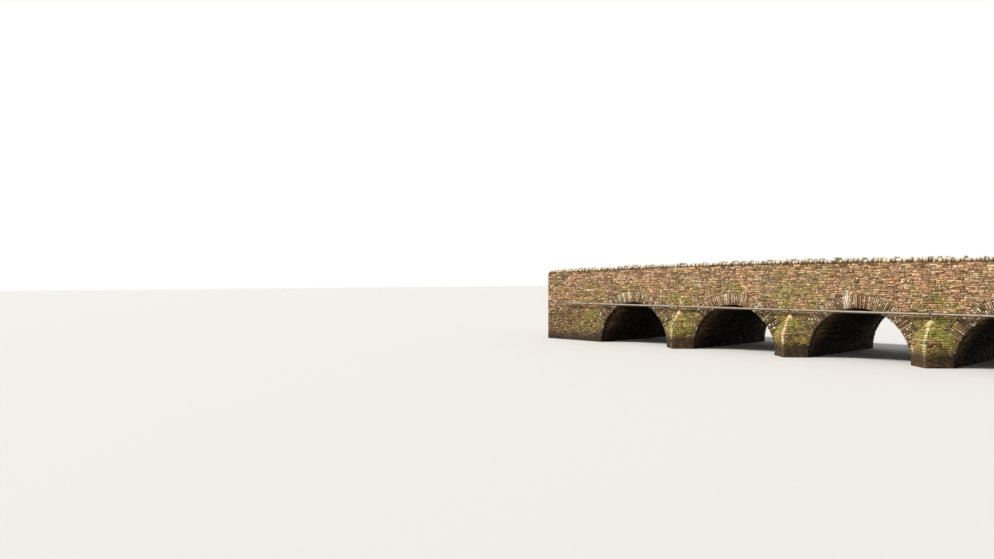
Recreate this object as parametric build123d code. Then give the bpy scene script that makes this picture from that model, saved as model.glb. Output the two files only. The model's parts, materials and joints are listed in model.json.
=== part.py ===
"""Rubble stone road bridge over a small river: round arches on low piers, with pointed cutwaters on
both sides, a humped carriageway between two parapets, rough copes, and a service pipe on one face.

Frame, in millimetres: X runs along the bridge, -Y is the face that carries the pipe, +Z is up.
The origin is at the middle of the bridge, at the level where its piers meet the water.
"""

from build123d import *
import math
import os

# The arches and what they stand on
ARCH_COUNT = 4
ARCH_SPAN = 3450.0
ARCH_RISE = 1560.0
SPRINGING_HEIGHT = 260.0
PIER_WIDTH = 1250.0
RING_DEPTH = 450.0
BARREL_THICKNESS = 350.0

# The bridge across its road, and along it past the last arch
WIDTH_OVER_WALLS = 5600.0
WALL_THICKNESS = 450.0
APPROACH_LENGTH = 3225.0

# The humped road, and the parapets that follow it
COVER_THICKNESS = 185.0
HUMP_RADIUS = 400000.0
CROWN_OFFSET = 3700.0
ROAD_THICKNESS = 120.0
ROAD_CAMBER = 50.0
PARAPET_HEIGHT = 720.0
COPE_HEIGHT = 200.0
COPE_OVERHANG = 30.0
COPE_CHAMFER = 60.0

# The cutwaters and the steep caps on them
CUTWATER_PROJECTION = 580.0
CUTWATER_SHOULDER = 820.0
CAP_HEIGHT = 620.0
CAP_BULGE = 35.0
CAP_COURSES = 6
CAP_STONE_SHARE = 0.12

# The service pipe
PIPE_RADIUS = 45.0
PIPE_WALL = 6.0
PIPE_HEIGHT = 1670.0
PIPE_STANDOFF = 150.0
PIPE_END_INSET = 1200.0
COLLAR_RADIUS = 58.0
COLLAR_LENGTH = 100.0
COLLAR_INSET = 4000.0

# The brackets that hold the pipe
BRACKET_WIDTH = 50.0
BRACKET_THICKNESS = 10.0
BRACKET_PLATE_HEIGHT = 150.0
BRACKET_ARM_HEIGHT = 32.0

# The two ends of the bridge, as signs of X
LEFT = -1
RIGHT = 1

# Worked out from the sizes above
ARCH_PITCH = ARCH_SPAN + PIER_WIDTH
HALF_ARCHES = (ARCH_COUNT * ARCH_PITCH - PIER_WIDTH) / 2
HALF_LENGTH = HALF_ARCHES + APPROACH_LENGTH
HALF_WIDTH = WIDTH_OVER_WALLS / 2
HALF_INSIDE = HALF_WIDTH - WALL_THICKNESS
ARCH_CENTRES = [(i - (ARCH_COUNT - 1) / 2) * ARCH_PITCH for i in range(ARCH_COUNT)]
PIER_CENTRES = [(i - (ARCH_COUNT - 2) / 2) * ARCH_PITCH for i in range(ARCH_COUNT - 1)]
BRACKET_CENTRES = [(i - ARCH_COUNT / 2) * ARCH_PITCH for i in range(ARCH_COUNT + 1)]
ARCH_RADIUS = ((ARCH_SPAN / 2) ** 2 + ARCH_RISE**2) / (2 * ARCH_RISE)
RING_RADIUS = ARCH_RADIUS + RING_DEPTH
BARREL_RADIUS = ARCH_RADIUS + BARREL_THICKNESS
ARCH_CENTRE_HEIGHT = SPRINGING_HEIGHT + ARCH_RISE - ARCH_RADIUS
PIPE_Y = -HALF_WIDTH - PIPE_STANDOFF
PIPE_STRAIGHT = HALF_LENGTH - PIPE_END_INSET - PIPE_STANDOFF
RING_FOOT = math.sqrt(RING_RADIUS**2 - (SPRINGING_HEIGHT - ARCH_CENTRE_HEIGHT) ** 2)
BACK_OF_ARCHES = ARCH_CENTRES[-1] + RING_FOOT
RING_TOP = SPRINGING_HEIGHT + ARCH_RISE + RING_DEPTH
FARTHEST_ARCH = ARCH_CENTRES[-1] + abs(CROWN_OFFSET)
HUMP_CENTRE_HEIGHT = RING_TOP + COVER_THICKNESS - math.sqrt(HUMP_RADIUS**2 - FARTHEST_ARCH**2)
ROAD_CROWN = HUMP_CENTRE_HEIGHT + HUMP_RADIUS


def rectangle(x_low, x_high, z_low, z_high):
    """A rectangle of the X-Z plane between those limits."""
    middle = Pos((x_low + x_high) / 2, (z_low + z_high) / 2)
    return middle * Rectangle(x_high - x_low, z_high - z_low)


def below_hump(radius, x_low, x_high, z_low):
    """The part of the X-Z plane between z_low and the arc of that radius about the hump's centre."""
    tops = []
    for x in (x_low, (x_low + x_high) / 2, x_high):
        tops.append((x, HUMP_CENTRE_HEIGHT + math.sqrt(radius**2 - (x - CROWN_OFFSET) ** 2)))
    arc = ThreePointArc(*tops)
    rest = Polyline(tops[2], (x_high, z_low), (x_low, z_low), tops[0])
    return make_face(arc.edges() + rest.edges())


def arch_disc(centre, radius):
    """The disc of that radius about an arch's centre, cut off below the springing."""
    disc = Pos(centre, ARCH_CENTRE_HEIGHT) * Circle(radius)
    top = ARCH_CENTRE_HEIGHT + radius
    return disc & rectangle(centre - radius, centre + radius, SPRINGING_HEIGHT, top)


def over_the_arches(hump_radius, arch_radius):
    """What lies above the springing, between discs of one radius and the arc of the other."""
    outline = below_hump(hump_radius, -BACK_OF_ARCHES, BACK_OF_ARCHES, SPRINGING_HEIGHT)
    for centre in ARCH_CENTRES:
        outline -= arch_disc(centre, arch_radius)
    return outline


def across(outline, y_front, y_back):
    """An outline of the X-Z plane made solid from y_front to y_back."""
    return Pos(0, y_back, 0) * extrude(Plane.XZ * outline, amount=y_back - y_front)


def along_hump(points):
    """An outline of the Y-Z plane carried along the hump from one end of the bridge to the other."""
    axis = Axis((CROWN_OFFSET, 0, HUMP_CENTRE_HEIGHT), (0, 1, 0))
    half_turn = math.degrees(math.asin((HALF_LENGTH + abs(CROWN_OFFSET)) / HUMP_RADIUS)) * 1.1
    section = Plane.YZ * make_face(Polyline(*points, close=True).edges())
    start = (Pos(CROWN_OFFSET, 0, 0) * section).rotate(axis, -half_turn)
    swept = revolve(start, axis=axis, revolution_arc=2 * half_turn)
    return swept & Box(2 * HALF_LENGTH, 2 * WIDTH_OVER_WALLS, 4 * ROAD_CROWN)


def at_other_end(solid):
    """The same piece at the left end of the bridge."""
    return mirror(solid, about=Plane.YZ)


def at_back(solid):
    """The same piece on the back of the bridge."""
    return mirror(solid, about=Plane.XZ)


def abutment(side):
    """An abutment: the last arch's seat, and the mass behind it between the wing walls."""
    seat = rectangle(*sorted((side * HALF_ARCHES, side * BACK_OF_ARCHES)), 0, SPRINGING_HEIGHT)
    ends = sorted((side * BACK_OF_ARCHES, side * HALF_LENGTH))
    mass = below_hump(HUMP_RADIUS - ROAD_THICKNESS, *ends, 0)
    return across(seat, -HALF_WIDTH, HALF_WIDTH) + across(mass, -HALF_INSIDE, HALF_INSIDE)


def pier(centre):
    """A pier, from the water to the springing of the arches."""
    half = PIER_WIDTH / 2
    outline = rectangle(centre - half, centre + half, 0, SPRINGING_HEIGHT)
    return across(outline, -HALF_WIDTH, HALF_WIDTH)


def barrel(centre):
    """The vault of one arch, between its two face rings."""
    outline = arch_disc(centre, BARREL_RADIUS) - arch_disc(centre, ARCH_RADIUS)
    return across(outline, -HALF_INSIDE, HALF_INSIDE)


def front_ring(centre):
    """The ring of stones that shows on the front face."""
    outline = arch_disc(centre, RING_RADIUS) - arch_disc(centre, ARCH_RADIUS)
    return across(outline, -HALF_WIDTH, -HALF_INSIDE)


def front_spandrel():
    """The face wall over the arches, up to the level of the road."""
    return across(over_the_arches(HUMP_RADIUS, RING_RADIUS), -HALF_WIDTH, -HALF_INSIDE)


def front_wing(side):
    """One end of the front face wall, past the last arch and down to the ground."""
    ends = sorted((side * BACK_OF_ARCHES, side * HALF_LENGTH))
    return across(below_hump(HUMP_RADIUS, *ends, 0), -HALF_WIDTH, -HALF_INSIDE)


def fill():
    """The rubble between the face walls, on the vaults and under the road."""
    outline = over_the_arches(HUMP_RADIUS - ROAD_THICKNESS, BARREL_RADIUS)
    return across(outline, -HALF_INSIDE, HALF_INSIDE)


def road():
    """The carriageway between the parapets, thickest along its middle."""
    bottom = ROAD_CROWN - ROAD_THICKNESS
    gutter = ROAD_CROWN - ROAD_CAMBER
    points = [(-HALF_INSIDE, bottom), (HALF_INSIDE, bottom), (HALF_INSIDE, gutter)]
    return along_hump(points + [(0, ROAD_CROWN), (-HALF_INSIDE, gutter)])


def front_parapet():
    """The wall that stands on the front face wall, from the road's level to the cope."""
    top = ROAD_CROWN + PARAPET_HEIGHT
    points = [(-HALF_WIDTH, ROAD_CROWN), (-HALF_INSIDE, ROAD_CROWN)]
    return along_hump(points + [(-HALF_INSIDE, top), (-HALF_WIDTH, top)])


def front_cope():
    """The cope, a little wider than the parapet and with its upper corners knocked off."""
    outer = -HALF_WIDTH - COPE_OVERHANG
    inner = -HALF_INSIDE + COPE_OVERHANG
    bottom = ROAD_CROWN + PARAPET_HEIGHT
    top = bottom + COPE_HEIGHT
    outer_side = [(outer + COPE_CHAMFER, top), (outer, top - COPE_CHAMFER), (outer, bottom)]
    inner_side = [(inner, bottom), (inner, top - COPE_CHAMFER), (inner - COPE_CHAMFER, top)]
    return along_hump(outer_side + inner_side)


def cap_share(height):
    """How far the cap stands out at that height above the shoulder, as a share of its foot."""
    run = CUTWATER_PROJECTION * (1 - CAP_STONE_SHARE)
    chord = math.hypot(run, CAP_HEIGHT)
    radius = (chord**2 / 4 + CAP_BULGE**2) / (2 * CAP_BULGE)
    back = (radius - CAP_BULGE) / chord
    centre_out = CUTWATER_PROJECTION - run / 2 - CAP_HEIGHT * back
    centre_up = CAP_HEIGHT / 2 - run * back
    return (centre_out + math.sqrt(radius**2 - (height - centre_up) ** 2)) / CUTWATER_PROJECTION


def cutwater_plan(centre, height, share):
    """The cutwater at one height: a triangle on the front face, shrunk by share towards its middle."""
    half = share * PIER_WIDTH / 2
    nose = -HALF_WIDTH - share * CUTWATER_PROJECTION
    corners = [(centre - half, -HALF_WIDTH), (centre, nose), (centre + half, -HALF_WIDTH)]
    return Pos(0, 0, height) * make_face(Polyline(*corners, close=True).edges())


def front_cutwater(centre):
    """A pointed cutwater, whose cap bulges a little on its way in to the stone at its top."""
    shaft = extrude(cutwater_plan(centre, 0, 1.0), amount=CUTWATER_SHOULDER, dir=(0, 0, 1))
    levels = [CAP_HEIGHT * i / CAP_COURSES for i in range(CAP_COURSES + 1)]
    plans = [cutwater_plan(centre, CUTWATER_SHOULDER + level, cap_share(level)) for level in levels]
    return shaft + loft(plans, ruled=True)


def collar(x, length):
    """A sleeve round the pipe, from x on along the bridge."""
    start = Plane(origin=(x, PIPE_Y, PIPE_HEIGHT), z_dir=(1, 0, 0))
    return extrude(start * (Circle(COLLAR_RADIUS) - Circle(PIPE_RADIUS)), amount=length)


def pipe():
    """The service pipe along the front face, with a collar at each joint."""
    start = Plane(origin=(-PIPE_STRAIGHT, PIPE_Y, PIPE_HEIGHT), z_dir=(1, 0, 0))
    wall = Circle(PIPE_RADIUS) - Circle(PIPE_RADIUS - PIPE_WALL)
    tube = extrude(start * wall, amount=2 * PIPE_STRAIGHT)
    for x in (COLLAR_INSET - HALF_LENGTH, HALF_LENGTH - COLLAR_INSET):
        tube += collar(x - COLLAR_LENGTH / 2, COLLAR_LENGTH)
    return tube


def right_bend():
    """The elbow at the right end of the pipe, which turns it into the wing wall."""
    wall = Circle(PIPE_RADIUS) - Circle(PIPE_RADIUS - PIPE_WALL)
    start = Plane(origin=(PIPE_STRAIGHT, PIPE_Y, PIPE_HEIGHT), z_dir=(1, 0, 0))
    turn_axis = Axis((PIPE_STRAIGHT, -HALF_WIDTH, PIPE_HEIGHT), (0, 0, 1))
    return revolve(start * wall, axis=turn_axis, revolution_arc=90)


def bracket(centre):
    """An iron bracket: a plate on the wall, an arm, and a strap round the pipe."""
    start = Plane(origin=(centre - BRACKET_WIDTH / 2, PIPE_Y, PIPE_HEIGHT), z_dir=(1, 0, 0))
    strap = extrude(start * Circle(PIPE_RADIUS + BRACKET_THICKNESS), amount=BRACKET_WIDTH)
    arm_middle = -HALF_WIDTH - PIPE_STANDOFF / 2
    arm = Pos(centre, arm_middle, PIPE_HEIGHT) * Box(
        BRACKET_THICKNESS, PIPE_STANDOFF, BRACKET_ARM_HEIGHT
    )
    plate_middle = -HALF_WIDTH - BRACKET_THICKNESS / 2
    plate = Pos(centre, plate_middle, PIPE_HEIGHT) * Box(
        BRACKET_WIDTH, BRACKET_THICKNESS, BRACKET_PLATE_HEIGHT
    )
    return strap + arm + plate - extrude(start * Circle(PIPE_RADIUS), amount=BRACKET_WIDTH)


parts = {
    "left_abutment": abutment(LEFT),
    "right_abutment": abutment(RIGHT),
    "rubble_fill": fill(),
    "road_surface": road(),
    "front_spandrel_wall": front_spandrel(),
    "back_spandrel_wall": at_back(front_spandrel()),
    "front_left_wing_wall": front_wing(LEFT),
    "front_right_wing_wall": front_wing(RIGHT),
    "back_left_wing_wall": at_back(front_wing(LEFT)),
    "back_right_wing_wall": at_back(front_wing(RIGHT)),
    "front_parapet": front_parapet(),
    "back_parapet": at_back(front_parapet()),
    "front_cope": front_cope(),
    "back_cope": at_back(front_cope()),
    "service_pipe": pipe(),
    "left_pipe_bend": at_other_end(right_bend()),
    "right_pipe_bend": right_bend(),
}
for number, centre in enumerate(PIER_CENTRES, 1):
    parts[f"pier_{number}"] = pier(centre)
    parts[f"front_cutwater_{number}"] = front_cutwater(centre)
    parts[f"back_cutwater_{number}"] = at_back(front_cutwater(centre))
for number, centre in enumerate(ARCH_CENTRES, 1):
    parts[f"arch_barrel_{number}"] = barrel(centre)
    parts[f"front_arch_ring_{number}"] = front_ring(centre)
    parts[f"back_arch_ring_{number}"] = at_back(front_ring(centre))
for number, centre in enumerate(BRACKET_CENTRES, 1):
    parts[f"pipe_bracket_{number}"] = bracket(centre)

os.makedirs("parts", exist_ok=True)
for name, solid in parts.items():
    export_step(solid, f"parts/{name}.step")
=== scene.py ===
# %% [markdown]
# # A rubble stone bridge, dressed stone by stone
# The imported model gives the masses of the bridge: piers, vaults, rings, walls, parapets, road and pipe.
# This lesson lays the stones that show on those masses, gives every surface its finish, and lights the
# whole. First we load the masses as a fixed frame.
# The noise that dents some stones is seeded, or else it would start from the clock on each run.

# %% Load the frame
import json
import math
import random

import bmesh
import bpy
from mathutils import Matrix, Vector, noise


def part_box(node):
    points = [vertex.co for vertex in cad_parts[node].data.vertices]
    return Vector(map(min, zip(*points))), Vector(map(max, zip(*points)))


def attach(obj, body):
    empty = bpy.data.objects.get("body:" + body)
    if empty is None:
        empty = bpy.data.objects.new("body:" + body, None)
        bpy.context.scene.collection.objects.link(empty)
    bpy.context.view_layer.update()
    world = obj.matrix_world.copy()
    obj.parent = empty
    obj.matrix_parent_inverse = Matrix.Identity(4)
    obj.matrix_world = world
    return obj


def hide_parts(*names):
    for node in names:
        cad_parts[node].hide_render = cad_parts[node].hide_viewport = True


NOISE_SEED = 7

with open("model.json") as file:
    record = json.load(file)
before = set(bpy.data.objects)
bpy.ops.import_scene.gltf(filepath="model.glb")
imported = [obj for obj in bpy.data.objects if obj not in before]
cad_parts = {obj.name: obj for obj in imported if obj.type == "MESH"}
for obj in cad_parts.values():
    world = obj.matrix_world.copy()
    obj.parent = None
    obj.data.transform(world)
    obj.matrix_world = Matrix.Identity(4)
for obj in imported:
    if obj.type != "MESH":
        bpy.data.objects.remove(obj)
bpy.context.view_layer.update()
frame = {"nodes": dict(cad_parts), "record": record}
noise.seed_set(NOISE_SEED)

# %% [markdown]
# ## Reading the bridge's sizes from the frame
# The stones have to sit on the masonry, so every size here is read from the boxes of the pieces. An arch's
# radius follows from the width and height of its ring: the circle through both feet and the top.

# %% Sizes read from the frame
def high(node):
    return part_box(node)[1]


def middle_x(node):
    return (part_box(node)[0].x + high(node).x) / 2


SIDES = ((-1, "front"), (1, "back"))
HALF_LENGTH = high("road_surface").x
HALF_WIDTH = high("back_spandrel_wall").y
HALF_INSIDE = high("road_surface").y
SPRINGING = high("pier_1").z
PIERS = [middle_x(f"pier_{n}") for n in (1, 2, 3)]
ARCHES = [middle_x(f"arch_barrel_{n}") for n in (1, 2, 3, 4)]
HALF_PIER = high("pier_1").x - PIERS[0]
HALF_SPAN = ARCHES[1] - high("pier_1").x

RING_TOP = high("front_arch_ring_1").z
RING_FOOT = high("front_arch_ring_1").x - ARCHES[0]
RING_RADIUS = (RING_FOOT**2 + (RING_TOP - SPRINGING) ** 2) / (2 * (RING_TOP - SPRINGING))
ARCH_LEVEL = RING_TOP - RING_RADIUS
ARCH_RADIUS = math.hypot(HALF_SPAN, SPRINGING - ARCH_LEVEL)

ROAD_CROWN = high("front_spandrel_wall").z
PARAPET_TOP = high("front_parapet").z
COPE_TOP = high("front_cope").z


def end_low(node, side):
    """The lowest point of a piece at one end of the bridge."""
    points = frame["nodes"][node].data.vertices
    return min(vert.co.z for vert in points if side * vert.co.x > HALF_LENGTH - 0.001)


FALL_LEFT, FALL_RIGHT = (math.sqrt(ROAD_CROWN - end_low("front_parapet", side)) for side in (-1, 1))
CROWN_X = HALF_LENGTH * (FALL_LEFT - FALL_RIGHT) / (FALL_LEFT + FALL_RIGHT)
HUMP_RADIUS = ((HALF_LENGTH + CROWN_X) ** 2 + FALL_LEFT**4) / (2 * FALL_LEFT**2)
print(f"arch radius {ARCH_RADIUS:.3f} m, ring {RING_RADIUS - ARCH_RADIUS:.3f} m deep")
print(f"hump radius {HUMP_RADIUS:.1f} m, crown at {CROWN_X:.2f} m")


def drop(x):
    """How far the road lies below its crown at x."""
    return HUMP_RADIUS - math.sqrt(HUMP_RADIUS**2 - (x - CROWN_X) ** 2)


# %% [markdown]
# ## The camera
# The photograph was taken nearly thirty metres in front of the bridge, a little beyond its right end and a
# little under parapet height. A camera on that spot, with the same lens, puts each arch where it is there.

# %% Camera
CAMERA_PLACE = Vector((13.881, -30.119, 2.828))
CAMERA_TURN = math.radians(137.12)
CAMERA_TILT = math.radians(-0.13)
CAMERA_LENS = 28.97
CAMERA_FILM = 36.0
CAMERA_SIGHT = 400.0

level = math.cos(CAMERA_TILT)
look = Vector((level * math.cos(CAMERA_TURN), level * math.sin(CAMERA_TURN), math.sin(CAMERA_TILT)))


def in_scene(name, data):
    """A new object in the scene."""
    thing = bpy.data.objects.new(name, data)
    bpy.context.scene.collection.objects.link(thing)
    return thing


camera = in_scene("camera", bpy.data.cameras.new("camera"))
camera.data.lens = CAMERA_LENS
camera.data.sensor_width = CAMERA_FILM
camera.data.clip_end = CAMERA_SIGHT
camera.location = CAMERA_PLACE
camera.rotation_mode = "QUATERNION"
camera.rotation_quaternion = look.to_track_quat("-Z", "Y")
bpy.context.scene.camera = camera
print("camera looks along", look[:])

# %% [markdown]
# ## Floor, sky and lamps
# The bridge stands on a plain pale floor under soft light. The sun of the photograph comes from the left
# and from in front of the wall, so the lamp does too, and it is made wide so that its shadows are soft.
# What the camera sees of the sky is white, while the sky's own light on the stones is kept low.

# %% Floor and light
SUN_FROM = Vector((-0.55, -0.83, 1.05))
SUN_STRENGTH = 3.8
SUN_WIDTH = math.radians(9.0)
SKY_STRENGTH = 0.42
FLOOR_REACH = 180.0


def new_material(name):
    """A material, with its node tree and its Principled shader."""
    material = bpy.data.materials.new(name)
    material.use_nodes = True
    tree = material.node_tree
    return material, tree, tree.nodes["Principled BSDF"]


floor_mesh = bmesh.new()
bmesh.ops.create_grid(floor_mesh, x_segments=1, y_segments=1, size=FLOOR_REACH)
floor_data = bpy.data.meshes.new("floor")
floor_mesh.to_mesh(floor_data)
floor_mesh.free()
floor = in_scene("floor", floor_data)
floor_material, _, floor_shader = new_material("floor")
floor_shader.inputs["Base Color"].default_value = (0.66, 0.66, 0.65, 1.0)
floor_shader.inputs["Roughness"].default_value = 0.9
floor_data.materials.append(floor_material)

sun = in_scene("sun", bpy.data.lights.new("sun", "SUN"))
sun.data.energy = SUN_STRENGTH
sun.data.angle = SUN_WIDTH
sun.data.color = (1.0, 0.965, 0.91)
sun.rotation_mode = "QUATERNION"
sun.rotation_quaternion = SUN_FROM.to_track_quat("Z", "Y")

world = bpy.data.worlds.new("sky")
bpy.context.scene.world = world
world.use_nodes = True
sky = world.node_tree
background = sky.nodes["Background"]
background.inputs["Color"].default_value = (1.0, 1.0, 1.0, 1.0)
rays = sky.nodes.new("ShaderNodeLightPath")
seen = sky.nodes.new("ShaderNodeMath")
seen.operation = "MAXIMUM"
sky.links.new(rays.outputs["Is Camera Ray"], seen.inputs[0])
sky.links.new(rays.outputs["Is Glossy Ray"], seen.inputs[1])
strength = sky.nodes.new("ShaderNodeMapRange")
strength.inputs["To Min"].default_value = SKY_STRENGTH
strength.inputs["To Max"].default_value = 1.0
sky.links.new(seen.outputs[0], strength.inputs["Value"])
sky.links.new(strength.outputs["Result"], background.inputs["Strength"])
bpy.context.scene.view_settings.view_transform = "Standard"
print("sun from", SUN_FROM[:])

# %% [markdown]
# ## Finishes as node groups
# Old rubble has three layers of colour: the tone of each stone, the grain inside it, and the weather over
# the whole wall. One node group makes the first two and another one the weather, and both paint some light
# and shade into the colour as well. Each is built once and placed in every stone material with its own
# values. Each stone carries a random number, `tone`, that picks its colour.

# %% Nodes, links and groups
FLOAT = "NodeSocketFloat"
COLOR = "NodeSocketColor"


def tree_of(*sources):
    """The node tree of the first socket among some values."""
    return next(source.id_data for source in sources if isinstance(source, bpy.types.NodeSocket))


def link(source, target):
    tree_of(source).links.new(source, target)


def add(tree, kind, **values):
    """A node with its properties set by name."""
    node = tree.nodes.new(kind)
    for key, value in values.items():
        setattr(node, key, value)
    return node


def fill(node, values):
    """Sets a node's unlinked sockets by name."""
    for key, value in values.items():
        node.inputs[key].default_value = value
    return node


def feed(source, target):
    """Links a socket to an input, or sets the input to a plain value."""
    if isinstance(source, bpy.types.NodeSocket):
        link(source, target)
    else:
        target.default_value = source


def new_group(name, inputs, outputs):
    """An empty node group, with what it is given and what it results in. Both are kinds by their names."""
    group = bpy.data.node_groups.new(name, "ShaderNodeTree")
    for direction, sockets in (("INPUT", inputs), ("OUTPUT", outputs)):
        for label, kind in sockets.items():
            group.interface.new_socket(label, in_out=direction, socket_type=kind)
    given = group.nodes.new("NodeGroupInput")
    result = group.nodes.new("NodeGroupOutput")
    return group, given.outputs, result.inputs


# %% Colours and sums
def mixed(factor, first, second, blend="MIX"):
    """A mix of two colours by a factor, each of them a socket or a value."""
    tree = tree_of(factor, first, second)
    node = add(tree, "ShaderNodeMix", data_type="RGBA", blend_type=blend, clamp_factor=True)
    for source, socket in ((factor, 0), (first, 6), (second, 7)):
        feed(source, node.inputs[socket])
    return node.outputs[2]


def dyed(colour, dye):
    """A colour multiplied by a dye."""
    return mixed(1.0, colour, (*dye, 1.0), "MULTIPLY")


def ranged(source, low_value, high_value, to_low=0.0, to_high=1.0):
    """A smooth step of a value between two limits."""
    node = add(tree_of(source), "ShaderNodeMapRange", interpolation_type="SMOOTHSTEP")
    fill(node, {"From Min": low_value, "From Max": high_value, "To Min": to_low, "To Max": to_high})
    link(source, node.inputs["Value"])
    return node.outputs["Result"]


def maths(operation, first, second=0.0):
    """One sum on one or two sockets or numbers."""
    node = add(tree_of(first, second), "ShaderNodeMath", operation=operation)
    feed(first, node.inputs[0])
    feed(second, node.inputs[1])
    return node.outputs[0]


def plus(first, second):
    return maths("ADD", first, second)


def minus(first, second):
    return maths("SUBTRACT", first, second)


def times(*factors):
    """The product of two or more sockets or numbers."""
    product = factors[0]
    for factor in factors[1:]:
        product = maths("MULTIPLY", product, factor)
    return product


# %% Places, directions and noise
def place_of(tree):
    """The place of a point, in the object's own coordinates."""
    return add(tree, "ShaderNodeTexCoord").outputs["Object"]


def parts_of(vector):
    """The three parts of a vector."""
    node = add(tree_of(vector), "ShaderNodeSeparateXYZ")
    link(vector, node.inputs[0])
    return node.outputs


def facing_of(tree):
    """The three parts of the direction that the surface faces."""
    return parts_of(add(tree, "ShaderNodeNewGeometry").outputs["Normal"])


def attribute(tree, name):
    return add(tree, "ShaderNodeAttribute", attribute_name=name).outputs["Fac"]


def noise_at(place, scale, detail=4.0, roughness=0.6, stretch=(1.0, 1.0, 1.0)):
    """Noise at a place, as a value from 0 to 1."""
    tree = tree_of(place)
    spread = add(tree, "ShaderNodeMapping")
    spread.inputs["Scale"].default_value = stretch
    link(place, spread.inputs["Vector"])
    node = add(tree, "ShaderNodeTexNoise")
    fill(node, {"Scale": scale, "Detail": detail, "Roughness": roughness})
    link(spread.outputs[0], node.inputs["Vector"])
    return node.outputs["Fac"]


def bump_up(shader, height, strength, distance):
    """Gives a shader a relief of that height."""
    bump = add(tree_of(height), "ShaderNodeBump")
    fill(bump, {"Strength": strength, "Distance": distance})
    link(height, bump.inputs["Height"])
    link(bump.outputs["Normal"], shader.inputs["Normal"])


# %% [markdown]
# The first group gives each stone its colour. Most stones are brown or tan slate, some are rosy, some
# nearly black, and a few are pale. Four colours, mixed by the stone's own number, are enough to give that
# spread. Flecks and mottling keep any one stone from being flat. Thin level beds show how slate splits,
# painted darker where they lie deep and paler where they stand proud, as painted shade and highlight. The
# sides of a stone darken towards its joints, by the `lift` that its corners carry: dirt there, and painted
# shade.

# %% Group for the tone of a stone
GRAIN = 38.0


def build_stone_tone():
    inputs = {"Dark": COLOR, "Brown": COLOR, "Rose": COLOR, "Pale": COLOR, "Beds": FLOAT}
    group, given, result = new_group("stone tone", inputs, {"Color": COLOR, "Height": FLOAT})
    place = place_of(group)
    tone = attribute(group, "tone")
    colour = mixed(ranged(tone, 0.02, 0.34), given["Dark"], given["Brown"])
    colour = mixed(ranged(tone, 0.4, 0.8), colour, given["Rose"])
    colour = mixed(ranged(tone, 0.84, 1.0), colour, given["Pale"])
    grain = noise_at(place, GRAIN, 6.0, 0.7)
    darker = dyed(colour, (0.55, 0.51, 0.44))
    paler = dyed(colour, (1.3, 1.3, 1.3))
    colour = mixed(ranged(grain, 0.36, 0.62), darker, paler)
    mottled = ranged(noise_at(place, 12.0, 4.0, 0.65), 0.4, 0.56)
    colour = mixed(mottled, dyed(colour, (0.76, 0.73, 0.69)), colour)
    # Slate beds: darker where deep and paler where proud, the painted shade and highlight of the layers.
    bed = ranged(noise_at(place, 6.0, 5.0, 0.72, (1.0, 1.0, 6.0)), 0.37, 0.6)
    deep = dyed(colour, (0.6, 0.56, 0.5))
    proud = dyed(colour, (1.28, 1.26, 1.24))
    colour = mixed(given["Beds"], colour, mixed(bed, deep, proud))
    # Towards the joints the sides darken: partly dirt, partly painted shade in the recesses.
    soiled_and_shaded = dyed(colour, (0.46, 0.385, 0.28))
    out_of_joint = ranged(attribute(group, "lift"), 0.0, 0.75)
    link(mixed(out_of_joint, soiled_and_shaded, colour), result["Color"])
    link(grain, result["Height"])
    return group


stone_tone = build_stone_tone()
print("group", stone_tone.name)

# %% [markdown]
# The second group is the weather, laid over the stones layer by layer, as it came to the bridge, with some
# painted light and shade among it. First the wall took broad stains, warm and cool. The sun bleached what
# faces the sky and the upper parts of the copes, in patches, and the same layer paints them paler as a
# highlight, most on the sides that face the sun. The lower wall is darker up to an uneven line, partly grime
# and partly painted shade.

# %% Stains, bleaching with painted highlight, and grime with painted shade
def stained(place, colour):
    """Turns the colour warmer in some places and cooler in others, metres apart."""
    cool = dyed(colour, (0.87, 0.89, 0.69))
    warm = dyed(colour, (1.07, 0.97, 0.79))
    return mixed(ranged(noise_at(place, 0.7, 4.0, 0.6, (1.0, 1.0, 1.4)), 0.36, 0.62), cool, warm)


def bleached_and_sunlit(tree, place, amount, colour):
    """Bleaches what faces the sky and, where the amount is large, the upper part of the sides too, and paints
    sunlight on them as a highlight, most on the sides that face the sun.
    """
    _, facing_back, facing_up = facing_of(tree)
    patchy = ranged(noise_at(place, 5.0, 5.0, 0.65), 0.34, 0.54, 0.55, 1.0)
    upper = ranged(attribute(tree, "lift"), 0.35, 0.85)
    well_bleached_and_lit = ranged(amount, 0.3, 0.9)
    sunny_side = ranged(facing_back, -0.2, 0.5, 1.0, 0.4)
    skyward = ranged(facing_up, 0.05, 0.8)
    sunned = maths("MAXIMUM", skyward, times(upper, well_bleached_and_lit, sunny_side))
    # The pale here is partly bleaching and partly a painted highlight.
    return mixed(times(sunned, patchy, amount), colour, (0.7, 0.645, 0.55, 1))


def grimy_and_shaded(place, height, colour):
    """Darkens the stones up to an uneven line at that height, partly grime and partly painted shade."""
    edge = times(minus(noise_at(place, 1.1, 4.0), 0.5), 1.5)
    above = minus(parts_of(place)[2], plus(height, edge))
    return mixed(ranged(above, -0.35, 0.3, 1.0, 0.0), colour, dyed(colour, (0.5, 0.47, 0.36)))


# %% [markdown]
# Then came the green. A thin film of algae lies in broad patches, less of it higher up. Moss grows in
# clumps where water lingers: by the middle pier, on what faces up, over the piers, where the fill drains
# through the wall, and over the crowns of the rings. The palest stones are hard and stay bare.

# %% Algae and moss
SEEP = 0.13


def filmed(place, growth, colour):
    """Lays a film of algae over the colour in broad patches."""
    shaded = minus(growth, times(parts_of(place)[2], 0.08))
    algae = ranged(plus(noise_at(place, 1.6, 6.0, 0.66), shaded), 0.4, 0.52)
    return mixed(times(algae, 0.5), colour, dyed(colour, (0.66, 0.76, 0.4)))


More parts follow.
